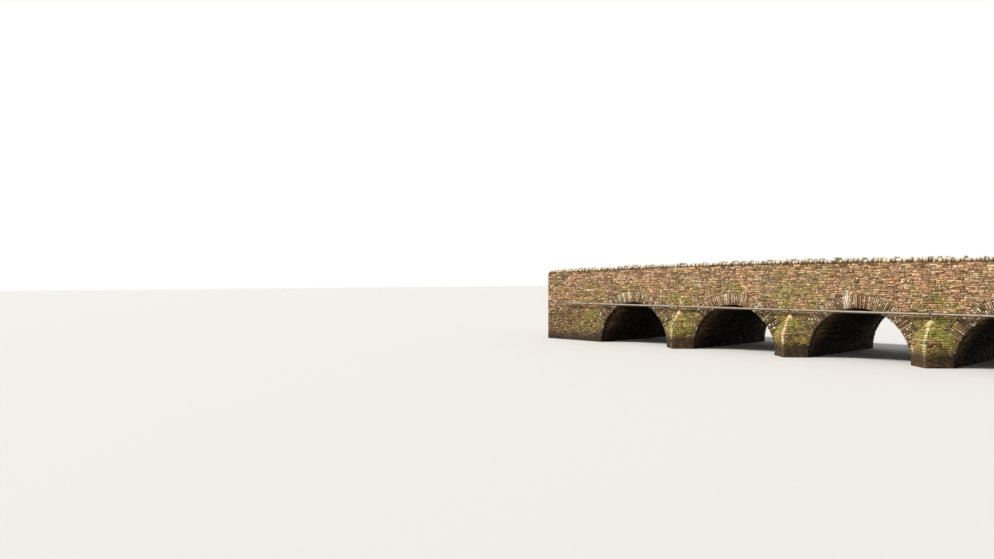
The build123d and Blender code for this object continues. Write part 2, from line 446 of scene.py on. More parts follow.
def seepage(place):
    """How much water comes through the face of the wall."""
    x, y, z = parts_of(place)
    turn = maths("COSINE", times(x, math.tau / (ARCHES[1] - ARCHES[0])))
    over_piers = times(
        ranged(turn, 0.0, 0.9, 0.0, SEEP),
        ranged(z, RING_TOP + 0.03, RING_TOP + 0.63, 1.0, 0.0),
    )
    over_crowns = times(
        ranged(turn, -0.5, -0.9, 0.0, SEEP),
        ranged(z, RING_TOP - 0.12, RING_TOP + 0.03),
        ranged(z, RING_TOP + 0.23, RING_TOP + 0.48, 1.0, 0.0),
    )
    on_face = ranged(maths("ABSOLUTE", y), HALF_WIDTH + 0.06, HALF_WIDTH + 0.12, 1.0, 0.0)
    return times(plus(over_piers, over_crowns), on_face)


def mossy(tree, place, growth, amount, colour):
    """Grows clumps of moss where it is damp enough for them."""
    facing_up = times(facing_of(tree)[2], 0.16)
    damp = plus(facing_up, maths("MAXIMUM", growth, seepage(place)))
    needed = minus(0.78, times(amount, 0.36))
    clumps = minus(plus(noise_at(place, 2.2, 6.0, 0.68), damp), needed)
    bare = ranged(attribute(tree, "tone"), 0.9, 0.94, 1.0, 0.1)
    speckle = ranged(noise_at(place, 26.0, 3.0), 0.4, 0.6)
    green = mixed(speckle, (0.115, 0.125, 0.014, 1), (0.42, 0.42, 0.055, 1))
    return mixed(times(ranged(clumps, 0.0, 0.08), bare, 0.8), colour, green)


# %% [markdown]
# Last come the marks on top. Lichen makes small pale spots. A white run of lime hangs beside the crown of
# the third arch, where water has come through for years. Near the river the stone is dark and wet, up to a
# wavy line, and wet stone is smoother than dry stone, so the group puts out the roughness too.

# %% Lichen, lime and water
LIME_X = ARCHES[2] - 0.35
LIME_SWAY = 0.22


def spotted(place, amount, colour):
    """Makes spots of lichen, more and larger ones where the amount is large."""
    spots = plus(noise_at(place, 13.0, 2.0, 0.5), times(amount, 0.06))
    return mixed(times(ranged(spots, 0.68, 0.72), 0.85), colour, (0.88, 0.81, 0.68, 1))


def limed(place, colour):
    """Hangs the run of lime on the front face."""
    x, y, z = parts_of(place)
    sway = times(noise_at(place, 9.0, 4.0, 0.7, (1.0, 1.0, 0.4)), LIME_SWAY)
    aside = maths("ABSOLUTE", plus(minus(x, LIME_X + LIME_SWAY / 2), sway))
    run = times(
        ranged(aside, 0.03, 0.07, 1.0, 0.0),
        ranged(z, RING_TOP - 0.47, RING_TOP - 0.35),
        ranged(z, RING_TOP + 0.03, RING_TOP + 0.23, 1.0, 0.0),
        ranged(y, 0.3 - HALF_WIDTH, 0.4 - HALF_WIDTH, 1.0, 0.0),
    )
    return mixed(times(run, 0.85), colour, (0.86, 0.82, 0.74, 1))


def soaked(place, height, colour):
    """Soaks the stones up to a wavy line, and gives how wet they are as well."""
    wave = times(noise_at(place, 2.2, 4.0, 0.6), 0.5)
    above = minus(parts_of(place)[2], plus(height, wave))
    wet = ranged(above, -0.38, -0.06, 1.0, 0.0)
    return mixed(times(wet, 0.96), colour, dyed(colour, (0.14, 0.09, 0.065))), wet


# %% Group for the weather, with its painted light and shade
def build_weather_and_painted_light():
    inputs = dict.fromkeys(("Damp height", "Grime and shade height", "Moss", "Lichen", "Bleach and sunlight"), FLOAT)
    inputs["Color"] = COLOR
    group, given, result = new_group("weather_and_painted_light", inputs, {"Color": COLOR, "Roughness": FLOAT})
    place = place_of(group)
    from_middle = maths("ABSOLUTE", parts_of(place)[0])
    growth = ranged(from_middle, 1.0, 4.0, 0.04, -0.03)
    colour = stained(place, given["Color"])
    colour = bleached_and_sunlit(group, place, given["Bleach and sunlight"], colour)
    colour = grimy_and_shaded(place, given["Grime and shade height"], colour)
    colour = filmed(place, growth, colour)
    colour = mossy(group, place, growth, given["Moss"], colour)
    colour = spotted(place, given["Lichen"], colour)
    colour = limed(place, colour)
    colour, wet = soaked(place, given["Damp height"], colour)
    link(colour, result["Color"])
    link(minus(0.92, times(wet, 0.35)), result["Roughness"])
    return group


weather_and_painted_light = build_weather_and_painted_light()
print("group", weather_and_painted_light.name)

# %% [markdown]
# A stone material joins both groups and adds relief. The relief is a bump of two sizes of noise: the coarse
# one makes the face of each stone uneven, and the fine one makes it gritty. Under the arches, where no rain
# washes the stone, shade is painted into its colour: on the ring slabs' inner ends, and on the vaults further
# in, where painted light makes the stones paler towards the mouths.

# %% Shades under the arches
def shaded_soffit(tree, colour):
    """Paints shade on the sides of a stone that don't face out of the wall."""
    outside = ranged(maths("ABSOLUTE", facing_of(tree)[1]), 0.25, 0.75)
    return mixed(outside, dyed(colour, (0.15, 0.125, 0.08)), colour)


def lit_mouth(tree, colour):
    """Paints light on the stones over the last metre before the open air, making them paler there."""
    from_middle = maths("ABSOLUTE", parts_of(place_of(tree))[1])
    mouth = ranged(from_middle, HALF_WIDTH - 1.3, HALF_WIDTH - 0.3)
    return mixed(mouth, colour, dyed(colour, (3.6, 2.9, 2.2)))


# %% Stone materials
def stone_material(
    name, dark, brown, rose, pale, damp=0.3, grime_and_shade=-2.0, moss=0.3, lichen=0.3, bleach_and_sunlight=0.2,
    relief=0.6, layers=3.0, beds=0.0, shine=0.3, shade=None,
):
    """A material of four tones and the weather, with their painted light and shade. layers flattens the
    coarse relief, as in stones laid flat.
    """
    material, tree, shader = new_material(name)
    tone = add(tree, "ShaderNodeGroup", node_tree=stone_tone)
    tones = {"Dark": dark, "Brown": brown, "Rose": rose, "Pale": pale}
    fill(tone, {"Beds": beds, **{key: (*colour, 1.0) for key, colour in tones.items()}})
    over = add(tree, "ShaderNodeGroup", node_tree=weather_and_painted_light)
    fill(over, {"Damp height": damp, "Grime and shade height": grime_and_shade, "Moss": moss, "Lichen": lichen, "Bleach and sunlight": bleach_and_sunlight})
    link(tone.outputs["Color"], over.inputs["Color"])
    colour = shade(tree, over.outputs["Color"]) if shade else over.outputs["Color"]
    link(colour, shader.inputs["Base Color"])
    link(over.outputs["Roughness"], shader.inputs["Roughness"])
    uneven = noise_at(place_of(tree), 9.0, 4.0, 0.6, (1.0, 1.0, layers))
    bump_up(shader, plus(uneven, times(tone.outputs["Height"], 0.4)), relief, 0.03)
    shader.inputs["Specular IOR Level"].default_value = shine
    return material


wall_finish = stone_material(
    "wall rubble",
    dark=(0.2, 0.112, 0.05), brown=(0.5, 0.31, 0.195),
    rose=(0.7, 0.465, 0.335), pale=(0.96, 0.8, 0.64),
    grime_and_shade=1.52, moss=0.34, lichen=0.7, beds=1.0,
)
ring_finish = stone_material(
    "ring slabs",
    dark=(0.18, 0.117, 0.07), brown=(0.37, 0.245, 0.16),
    rose=(0.53, 0.365, 0.26), pale=(0.8, 0.66, 0.52),
    damp=0.45, grime_and_shade=1.6, moss=0.34, lichen=1.2, layers=1.0, shade=shaded_soffit,
)
cutwater_finish = stone_material(
    "cutwater rubble",
    dark=(0.13, 0.08, 0.03), brown=(0.38, 0.24, 0.09),
    rose=(0.56, 0.38, 0.17), pale=(0.9, 0.79, 0.57),
    damp=0.46, moss=0.72, lichen=0.4, beds=0.8,
)
# Nearly black tones: painted shade, for the stones under the arches and on the pier sides.
under_arch_shade_finish = stone_material(
    "vault rubble",
    dark=(0.009, 0.006, 0.004), brown=(0.02, 0.0135, 0.009),
    rose=(0.03, 0.02, 0.013), pale=(0.065, 0.047, 0.033),
    damp=0.5, moss=0.15, lichen=-2.0, shine=0.03, shade=lit_mouth,
)
cope_finish = stone_material(
    "cope stones",
    dark=(0.28, 0.21, 0.14), brown=(0.4, 0.31, 0.215),
    rose=(0.54, 0.44, 0.33), pale=(0.86, 0.78, 0.67),
    damp=-2.0, moss=0.25, lichen=0.9, bleach_and_sunlight=0.95, relief=0.8, layers=1.0,
)
print("stone materials made")

# %% [markdown]
# ## Laying stones
# A wall of coursed rubble could be an array of one stone, but then it repeats. It could be a bump pattern,
# but then it is flat at its edges. Here a flat sheet is cut instead, as a mason thinks of the wall: first
# into courses, then each course into stones. The sheet is then bent onto the masonry, each stone shrinks a
# little to leave its joint, and is pulled out of the bed by its own amount.

# %% Cut a sheet into courses
def cut_face(face, point, normal):
    """Cuts a face in two along a line. Gives the part behind the line and the part the normal points to."""
    ahead = {vert: (vert.co - Vector(point)).dot(Vector(normal)) for vert in face.verts}
    joints = []
    for edge in face.edges[:]:
        start, end = edge.verts
        if ahead[start] * ahead[end] < 0:
            share = ahead[start] / (ahead[start] - ahead[end])
            joints.append(bmesh.utils.edge_split(edge, start, share)[1])
    if len(joints) != 2:
        return (None, face) if max(ahead.values(), key=abs) > 0 else (face, None)
    other = bmesh.utils.face_split(face, *joints)[0]
    return sorted((face, other), key=lambda part: part.calc_center_median().dot(Vector(normal)))


def part_all(bm):
    """Parts the sheet along all its cuts."""
    bmesh.ops.split_edges(bm, edges=[edge for edge in bm.edges if not edge.is_boundary])


def flat_sheet(bm, width, height):
    """A rectangle from (0, 0) to (width, height)."""
    bmesh.ops.create_grid(bm, x_segments=1, y_segments=1, size=0.5)
    bmesh.ops.translate(bm, verts=bm.verts, vec=(0.5, 0.5, 0.0))
    bmesh.ops.scale(bm, verts=bm.verts, vec=(width, height, 1.0))


def steps(total, smallest, largest, rng):
    """Places of the joints along a length, at random distances between two limits."""
    joints = [rng.uniform(smallest, largest)]
    while joints[-1] < total - smallest / 2:
        joints.append(joints[-1] + rng.uniform(smallest, largest))
    return [joint * total / joints[-1] for joint in joints[:-1]]


def cut_courses(bm, height, thin, thick, rng):
    """Cuts the sheet across, and parts it there."""
    rest = bm.faces[:][0]
    for joint in steps(height, thin, thick, rng):
        rest = cut_face(rest, (0, joint, 0), (0, 1, 0))[1]
    part_all(bm)


# %% Cut the courses into stones
# One pale stone wraps each nose, reaching further onto the left face, on the sun's side, than onto the right:
# partly whitened stone, partly a painted highlight along the nose.
NOSE_LONG = (0.09, 0.17)
NOSE_SHORT = (0.03, 0.07)
NOSE_ROOM = 0.06
SPLIT_FROM = 0.075
SPLIT_ASIDE = 0.14
SPLIT_LEAN = 0.05


def cut_stones(bm, width, short, long, lean, stretch, nose, rng):
    """Cuts each course into stones, with joints that lean a little.

    stretch says how much longer the sheet is there than the real face. nose is where one stone of each course
    wraps round a corner, if the sheet has one.
    """
    for course in bm.faces[:]:
        middle = course.calc_center_median()
        scale = stretch(middle.y)
        joints = steps(width, short * scale, long * scale, rng)
        if nose is not None:
            start = nose - rng.uniform(*NOSE_LONG) * scale
            end = nose + rng.uniform(*NOSE_SHORT) * scale
            room = NOSE_ROOM * scale
            joints = [joint for joint in joints if not start - room < joint < end + room]
            joints = sorted([*joints, start, end])
        rest = course
        for joint in joints:
            rest = cut_face(rest, (joint, middle.y, 0), (1, rng.uniform(-lean, lean) * scale, 0))[1]
    part_all(bm)


def split_stones(bm, share, stretch, rng):
    """Splits a share of the thicker stones along their length into two thinner ones."""
    for stone in bm.faces[:]:
        tall = max(vert.co.y for vert in stone.verts) - min(vert.co.y for vert in stone.verts)
        if rng.random() < share and tall > SPLIT_FROM:
            middle = stone.calc_center_median()
            place = middle + Vector((0, rng.uniform(-SPLIT_ASIDE, SPLIT_ASIDE) * tall, 0))
            cut_face(stone, place, (rng.uniform(-SPLIT_LEAN, SPLIT_LEAN) / stretch(middle.y), 1, 0))
    part_all(bm)


# %% Number the stones and give them their tones
LARGE_TONE = 0.86
NOSE_WHITE_AND_HIGHLIGHT_TONE = 0.93
NOSE_SPREAD = 0.07
OFF_NOSE_TONE = 0.9


def number_stones(bm, rng):
    """Gives each stone its number and its tone, and makes room for the lift of its corners."""
    bm.verts.layers.float.new("lift")
    number = bm.faces.layers.int.new("stone")
    tone = bm.faces.layers.float.new("tone")
    for index, face in enumerate(bm.faces):
        face[number] = index
        face[tone] = rng.random()


def calm_large_stones(bm, limit):
    """Keeps the palest tones for the smaller stones."""
    tone = bm.faces.layers.float["tone"]
    for face in bm.faces:
        if face.calc_area() > limit:
            face[tone] *= LARGE_TONE


def fold_at_nose(bm, nose):
    """Marks the fold of the sheet, and makes the stones on it the palest, partly whitened stone and partly a
    painted highlight along the nose.
    """
    tone = bm.faces.layers.float["tone"]
    for stone in bm.faces[:]:
        halves = cut_face(stone, (nose, 0, 0), (1, 0, 0))
        if all(halves):
            for half in halves:
                half[tone] = NOSE_WHITE_AND_HIGHLIGHT_TONE + NOSE_SPREAD * half[tone]
        else:
            stone[tone] *= OFF_NOSE_TONE


# %% [markdown]
# Once bent into place, the stones get their joints. Insetting each one leaves a rim, and the rim is
# deleted: that is the joint, in which the darker bed shows. Extruding then makes each stone a closed block.
# Its outer corners are moved a few millimetres and its edges bevelled, as rubble is split and not sawn.

# %% Give the stones their joints and depth
LEAST_JOINTS = 0.6
LEAST_STONE = 0.003


def open_joints(bm, joint):
    """Shrinks each stone by half a joint all round, and drops what is too small to be a stone."""
    small = []
    for face in bm.faces:
        girth = sum(edge.calc_length() for edge in face.edges)
        if face.calc_area() / girth < LEAST_JOINTS * joint + LEAST_STONE:
            small.append(face)
    bmesh.ops.delete(bm, geom=small, context="FACES")
    rims = bmesh.ops.inset_region(
        bm, faces=bm.faces[:], thickness=joint / 2, use_boundary=True, use_even_offset=True
    )
    bmesh.ops.delete(bm, geom=rims["faces"], context="FACES")


def rise_of(number, proud):
    """How far a stone stands out. The two halves of a folded stone have one number, so they rise alike."""
    return random.Random(number * 7919 + 13).uniform(*proud)


def raise_stones(bm, proud, taper, rough, rng):
    """Makes each stone a closed block with an uneven face, and gives the edges to round off."""
    number = bm.faces.layers.int["stone"]
    lift = bm.verts.layers.float["lift"]
    beds = bm.faces[:]
    raised = bmesh.ops.extrude_face_region(bm, geom=beds, use_keep_orig=True)
    tops = [part for part in raised["geom"] if isinstance(part, bmesh.types.BMFace)]
    moves = {}
    for face in tops:
        rise = rise_of(face[number], proud)
        middle = face.calc_center_median()
        for vert in face.verts:
            moves.setdefault(vert, []).append(face.normal * rise + (middle - vert.co) * taper)
    for vert, pushes in moves.items():
        average = sum(pushes, Vector()) / len(pushes)
        wobble = Vector((rng.uniform(-1, 1), rng.uniform(-1, 1), rng.uniform(-1, 1))) * rough
        vert.co += average + wobble
        vert[lift] = 1.0
    bed_edges = {edge for face in beds for edge in face.edges}
    return [edge for edge in bm.edges if edge not in bed_edges]


# %% Turn the stones into a piece
def as_piece(bm, name, finish, replaced=()):
    """Turns a bmesh into a piece of the bridge, in place of the masses named in replaced."""
    bmesh.ops.recalc_face_normals(bm, faces=bm.faces)
    for face in bm.faces:
        face.smooth = True
    data = bpy.data.meshes.new(name)
    bm.to_mesh(data)
    bm.free()
    data.materials.append(finish)
    piece = in_scene(name, data)
    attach(piece, "root")
    if replaced:
        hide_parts(*replaced)
    data.calc_loop_triangles()
    print(f"{name}: {len(data.loop_triangles)} triangles")
    return piece


# %% [markdown]
# `lay` puts the steps together. `place` bends the flat sheet onto the masonry, `outward` says which way is
# out of the wall, and `trim` may cut the stones to what they meet, such as the ring of an arch. The name of
# the piece seeds its random numbers, so each piece is laid the same on every run.

# %% Lay a sheet of stones
BROAD_WAVES = (0.9, 1.7)
FINE_WAVES = (3.3, 4.0)
FINE_SHARE = 0.4
LUMPS = 11.0


def even(_height):
    return 1.0


def toward(x, y, z):
    """The same way out at every point of a flat face."""
    return lambda _point: Vector((x, y, z))


def unlevel(bm, name, size, wavy, place):
    """Puts the sheet in its place, with courses that wander up and down between its level edges."""
    for vert in bm.verts:
        x, y = vert.co.xy
        lift = 0.0
        for (along, up), share in ((BROAD_WAVES, 1.0), (FINE_WAVES, FINE_SHARE)):
            lift += share * wavy * noise.noise(Vector((x * along, y * up, len(name))))
        inside = min(1.0, y * 4, (size[1] - y) * 4)
        vert.co = place(x, y + lift * inside)


def lay(
    name, size, place, outward, finish, courses=(0.04, 0.1), lengths=(0.09, 0.32),
    lean=0.2, slips=0.6, joint=0.013, proud=(0.006, 0.03), taper=0.0, rough=0.006,
    rounding=(0.008, 1), stretch=even, trim=None, nose=None, wavy=0.0, lumps=0.0, calm=None,
    replaced=(),
):
    """Lays stones on a masonry face.

    courses, lengths and proud are the least and most that a stone measures in height, in length and out of
    the wall. slips is the share of stones that are split, and rounding the width and segments of the bevel.
    wavy says how far the courses wander, taper how much the stones narrow outwards, and calm from which area
    they are kept from being pale.
    """
    rng = random.Random(name)
    bm = bmesh.new()
    flat_sheet(bm, *size)
    cut_courses(bm, size[1], *courses, rng)
    cut_stones(bm, size[0], *lengths, lean, stretch, nose, rng)
    split_stones(bm, slips, stretch, rng)
    number_stones(bm, rng)
    if nose is not None:
        fold_at_nose(bm, nose)
    unlevel(bm, name, size, wavy, place)
    if trim:
        trim(bm, rng)
    bm.normal_update()
    inward = [face for face in bm.faces if face.normal.dot(outward(face.calc_center_median())) < 0]
    bmesh.ops.reverse_faces(bm, faces=inward)
    if calm:
        calm_large_stones(bm, calm)
    open_joints(bm, joint)
    edges = raise_stones(bm, proud, taper, rough, rng)
    width, segments = rounding
    bmesh.ops.bevel(
        bm, geom=edges, offset=width, segments=segments, profile=0.5, affect="EDGES", material=-1
    )
    for vert in bm.verts:
        vert.co += noise.noise_vector(vert.co * LUMPS) * lumps
    return as_piece(bm, name, finish, replaced)


# %% [markdown]
# ## The face walls
# On the real bridge the wall over the arches and the parapet are one plane of thin slate-like stones, with
# no string course between them. So one sheet per side covers the face from the water to the cope. Its
# courses are level at the bottom and follow the hump at the top. Stones at an arch are cut to its ring.

# %% Cut stones to the arches
RING_LAP = 0.015


def trim_to_arches(bm, _rng):
    """Cuts the face stones to the rings, and clears the openings and what the cutwaters hide."""
    hidden = []
    for face in bm.faces[:]:
        centre = face.calc_center_median()
        arch = min(ARCHES, key=lambda x: abs(x - centre.x))
        away = Vector((centre.x - arch, 0.0, centre.z - ARCH_LEVEL))
        nearest = min(math.hypot(v.co.x - arch, v.co.z - ARCH_LEVEL) for v in face.verts)
        if centre.z > SPRINGING and nearest < RING_RADIUS:
            away.normalize()
            edge = Vector((arch, centre.y, ARCH_LEVEL)) + away * (RING_RADIUS - RING_LAP)
            hidden.append(cut_face(face, edge, away)[0])
        elif centre.z <= SPRINGING and nearest < RING_FOOT:
            side = math.copysign(1.0, centre.x - arch)
            hidden.append(cut_face(face, (arch + side * HALF_SPAN, 0, 0), (side, 0, 0))[0])
        elif centre.z <= SPRINGING and min(abs(centre.x - pier) for pier in PIERS) < HALF_PIER:
            hidden.append(face)
    bmesh.ops.delete(bm, geom=[face for face in hidden if face], context="FACES")


# %% Face walls, front and back
def face_place(side):
    """Bends the sheet to the face: level at the water, and along the hump under the cope."""

    def place(u, v):
        x = u - HALF_LENGTH
        return Vector((x, side * HALF_WIDTH, v * (PARAPET_TOP - drop(x)) / PARAPET_TOP))

    return place


for side, where in SIDES:
    lay(
        f"{where}_face_stones", (2 * HALF_LENGTH, PARAPET_TOP), face_place(side), toward(0, side, 0),
        wall_finish, trim=trim_to_arches, wavy=0.06, calm=0.016,
    )

# %% [markdown]
# ## The rings
# Each arch is edged with thin slabs set on edge, pointing at its centre, as deep as a forearm is long. A
# sheet with a single course is cut into slabs and bent round the arch. The slabs start inside the vault, so
# their ends show under the arch too, and some are shorter than others. Where the lime runs down beside the
# third crown, it has whitened two of them.

# %% Rings, front and back
RING_SLAB_INSIDE = 0.36
SOFFIT_PROUD = 0.028
SLAB_CUT = (-0.02, 0.03)
HALF_VAULT = HALF_WIDTH - RING_SLAB_INSIDE
WHITE_SLABS_AT = (ARCHES[2] - 0.32, -HALF_VAULT)
WHITE_SLABS_NEAR = 0.06
ARCH_START = math.asin((SPRINGING - ARCH_LEVEL) / ARCH_RADIUS)
ARCH_LENGTH = ARCH_RADIUS * (math.pi - 2 * ARCH_START)


def ring_place(arch, side):
    """Bends the sheet round the ring: u runs along the arch, and v out from its centre."""

    def place(u, v):
        turn = ARCH_START + u / ARCH_RADIUS
        reach = ARCH_RADIUS - SOFFIT_PROUD + v
        x, z = reach * math.cos(turn), reach * math.sin(turn)
        return Vector((arch + x, side * HALF_VAULT, ARCH_LEVEL + z))

    return place


def shorten_slabs(arch):
    """Moves the outer end of each slab in by its own amount, and whitens a pair beside the third crown."""

    def trim(bm, rng):
        centre = Vector((arch, 0, ARCH_LEVEL))
        tone = bm.faces.layers.float["tone"]
        for face in bm.faces:
            middle = face.calc_center_median()
            if math.dist(middle.xy, WHITE_SLABS_AT) < WHITE_SLABS_NEAR and middle.z > RING_TOP / 2:
                face[tone] = 1.0
            cut = rng.uniform(*SLAB_CUT)
            for vert in face.verts:
                flat = Vector((vert.co.x, 0, vert.co.z)) - centre
                if flat.length > (ARCH_RADIUS + RING_RADIUS) / 2:
                    vert.co -= flat.normalized() * cut

    return trim


for side, where in SIDES:
    for number, arch in enumerate(ARCHES, 1):
        lay(
            f"{where}_ring_slabs_{number}",
            (ARCH_LENGTH, RING_RADIUS - ARCH_RADIUS + SOFFIT_PROUD),
            ring_place(arch, side), toward(0, side, 0), ring_finish,
            courses=(1.0, 1.0), lengths=(0.045, 0.085), lean=0.03, slips=0.15, joint=0.016,
            proud=(RING_SLAB_INSIDE + 0.008, RING_SLAB_INSIDE + 0.03),
            trim=shorten_slabs(arch),
        )

# %% [markdown]
# ## The vaults
# Under the arches the same thin stones run from face to face, in courses along the bridge's width. Their
# sheet is bent round the arch and faces its centre. Their colour is nearly black, painted shade, on stone
# that never dries.

# %% Vaults
def vault_place(arch):
    """Bends the sheet round the vault: u runs from front to back, and v along the arch."""

    def place(u, v):
        turn = ARCH_START + v / ARCH_RADIUS
        x, z = ARCH_RADIUS * math.cos(turn), ARCH_RADIUS * math.sin(turn)
        return Vector((arch + x, u - HALF_VAULT, ARCH_LEVEL + z))

    return place


for number, arch in enumerate(ARCHES, 1):
    lay(
        f"vault_stones_{number}", (2 * HALF_VAULT, ARCH_LENGTH), vault_place(arch),
        lambda point, arch=arch: Vector((arch - point.x, 0, ARCH_LEVEL - point.z)),
        under_arch_shade_finish, courses=(0.06, 0.11), lengths=(0.2, 0.6), proud=(0.004, 0.02),
    )

# %% [markdown]
# ## Piers and abutments
# Below the springing the arches stand on short walls of larger stones, damp from the water and painted
# nearly black with the shade under the arches.

# %% Sides of the piers
BACKWARD = Vector((0, 1, 0))
UP = Vector((0, 0, 1))


def upright_place(corner):
    """Puts a sheet upright across the bridge, from its lower corner at the front."""
    return lambda u, v: corner + BACKWARD * u + UP * v


pier_sides = []
for number, pier in enumerate(PIERS, 1):
    pier_sides.append((f"pier_{number}_left_stones", pier - HALF_PIER, -1))
    pier_sides.append((f"pier_{number}_right_stones", pier + HALF_PIER, 1))
pier_sides.append(("left_abutment_stones", ARCHES[0] - HALF_SPAN, 1))
pier_sides.append(("right_abutment_stones", ARCHES[-1] + HALF_SPAN, -1))
for name, x, side in pier_sides:
    place = upright_place(Vector((x, -HALF_WIDTH, 0)))
    lay(
        name, (2 * HALF_WIDTH, SPRINGING), place, toward(side, 0, 0), under_arch_shade_finish,
        courses=(0.08, 0.14), lengths=(0.25, 0.6),
    )

# %% [markdown]
# ## The cutwaters
# Each pier splits the stream with a pointed cutwater, built in courses like the wall and closed by a steep
# cap that leans back to one rounded stone against the face. One sheet covers both sides of it. Its middle
# line is folded over the nose, so some stones wrap round the point, and it narrows with the cap upwards.

# %% Places on the cutwaters
NEAR = 1e-4
LEAST_SHARE = 0.08


def nose_line(node, pier):
    """The nose of a cutwater from its foot up, as heights and distances out from the wall."""
    points = set()
    for vert in frame["nodes"][node].data.vertices:
        if abs(vert.co.x - pier) < NEAR and abs(vert.co.y) > HALF_WIDTH + NEAR:
            points.add((round(vert.co.z, 4), round(abs(vert.co.y) - HALF_WIDTH, 4)))
    return sorted(points)


def cutwater_share(line, z):
    """How far the nose stands out at that height, as a share of its foot."""
    for (z_below, out_below), (z_above, out_above) in zip(line, line[1:]):
        if z <= z_above:
            part = (z - z_below) / (z_above - z_below)
            return (out_below + part * (out_above - out_below)) / line[0][1]
    return line[-1][1] / line[0][1]


def cutwater_place(pier, side, line):
    """Bends a sheet, whose middle is at u = 0.5, round the nose. v is the height."""

    def place(u, v):
        share = cutwater_share(line, v)
        across = 2 * u - 1
        y = side * (HALF_WIDTH + share * line[0][1] * (1 - abs(across)))
        return Vector((pier + share * HALF_PIER * across, y, v))

    return place


def out_of_cutwater(pier, side):
    """The way out at a point of a cutwater, away from the middle of its back."""
    return lambda point: Vector((point.x - pier, point.y - side * HALF_WIDTH, 0.3))


def cutwater_stretch(line):
    """How much longer the sheet, which is 1 long everywhere, is than the way round the cutwater."""
    around = 2 * math.hypot(HALF_PIER, line[0][1])
    return lambda z: 1 / (around * max(LEAST_SHARE, cutwater_share(line, z)))


# %% Cutwaters, front and back
for side, where in SIDES:
    for number, pier in enumerate(PIERS, 1):
        node = f"{where}_cutwater_{number}"
        line = nose_line(node, pier)
        lay(
            f"{where}_cutwater_stones_{number}", (1.0, high(node).z),
            cutwater_place(pier, side, line), out_of_cutwater(pier, side),
            cutwater_finish,
            courses=(0.06, 0.12), lengths=(0.12, 0.4),
            stretch=cutwater_stretch(line), nose=0.5,
        )

# %% [markdown]
# A single pale boulder closes the top of each cutwater. Rough round stones are quickly made from a sphere
# of triangles, stretched to size and dented with noise.

# %% Cap stones
CAP_RADIUS = 0.13
CAP_TAPER = 3.5
CAP_DENTS = 0.03
CAP_OUT = 0.02
CAP_SUNK = 0.06
CAP_TONE = 0.94

for side, where in SIDES:
    bm = bmesh.new()
    tone = bm.faces.layers.float.new("tone")
    lift = bm.verts.layers.float.new("lift")
    for number, pier in enumerate(PIERS, 1):
        top = high(f"{where}_cutwater_{number}").z
        ball = bmesh.ops.create_icosphere(bm, subdivisions=3, radius=1.0)["verts"]
        bmesh.ops.scale(bm, verts=ball, vec=(CAP_RADIUS,) * 3)
        for vert in ball:
            vert.co.xy *= 1 - CAP_TAPER * max(0.0, vert.co.z)
            vert.co += noise.noise_vector(vert.co * 9.0 + Vector((number, side, 0))) * CAP_DENTS
        bmesh.ops.translate(bm, verts=ball, vec=(pier, side * (HALF_WIDTH + CAP_OUT), top - CAP_SUNK))
    for face in bm.faces:
        face[tone] = CAP_TONE
    for vert in bm.verts:
        vert[lift] = 1.0
    as_piece(bm, f"{where}_cap_stones", cutwater_finish)

# %% [markdown]
# ## The copes
# The parapets end in a row of rough stones set upright, side by side, pale and dry in the sun. They are
# laid as one course on top of the wall and pulled up to their full height, with a wider bevel and a rougher
# face. They take the place of the plain cope of the frame.

# %% Copes
COPE_OVERHANG = high("back_cope").y - HALF_WIDTH
COPE_WIDTH = HALF_WIDTH - HALF_INSIDE + 2 * COPE_OVERHANG
COPE_HEIGHT = COPE_TOP - PARAPET_TOP
COPE_SUNK = 0.01


def cope_place(side):
    """Lays the sheet flat on the parapet, along the hump."""
    start = side * (HALF_INSIDE - COPE_OVERHANG)

    def place(u, v):
        x = u - HALF_LENGTH
        return Vector((x, start + side * v, PARAPET_TOP - drop(x) - COPE_SUNK))

    return place


for side, where in SIDES:
    lay(
        f"{where}_cope_stones", (2 * HALF_LENGTH, COPE_WIDTH), cope_place(side), toward(0, 0, 1),
        cope_finish,
        courses=(1.0, 1.0), lengths=(0.08, 0.2), lean=0.06, slips=0.0, joint=0.014,
        proud=(COPE_HEIGHT - 0.07, COPE_HEIGHT + 0.015), taper=0.18,
        rough=0.02, rounding=(0.026, 3), lumps=0.022,
        replaced=(f"{where}_cope",),
    )

# %% [markdown]
# ## Inside the parapets, and the ends
# The road side of each parapet is laid like the face. The bridge is cut off square where its approaches
# begin, so the ends of the walls and of the abutments are finished with stones as well.

# %% Road side of the parapets
def inner_place(side):
    """Bends the sheet to the hump of the road, on its own side of the parapet."""

    def place(u, v):
        x = u - HALF_LENGTH
        return Vector((x, side * HALF_INSIDE, ROAD_CROWN - drop(x) + v))

    return place


for side, where in SIDES:
    lay(
        f"{where}_parapet_inner_stones",
        (2 * HALF_LENGTH, PARAPET_TOP - ROAD_CROWN),
        inner_place(side), toward(0, -side, 0), wall_finish, wavy=0.03,
    )

# %% Ends of the bridge
for side, where in ((-1, "left"), (1, "right")):
    end_x = side * HALF_LENGTH
    under_road = end_low("road_surface", side)
    above = PARAPET_TOP - drop(end_x) - under_road
    thick = HALF_WIDTH - HALF_INSIDE
    sheets = [
        (f"{where}_end_stones", -HALF_WIDTH, 0.0, 2 * HALF_WIDTH, under_road),
        (f"{where}_end_front_parapet_stones", -HALF_WIDTH, under_road, thick, above),
        (f"{where}_end_back_parapet_stones", HALF_INSIDE, under_road, thick, above),
    ]
    for name, y, z, width, height in sheets:
        place = upright_place(Vector((end_x, y, z)))
        lay(name, (width, height), place, toward(side, 0, 0), wall_finish)

# %% [markdown]
# ## Finishes of the masses
# Between the stones the masses themselves show, as the bed of the joints: old lime mortar and earth, much
# darker than the stones because no light reaches it. The fill of the bridge is the same stuff.

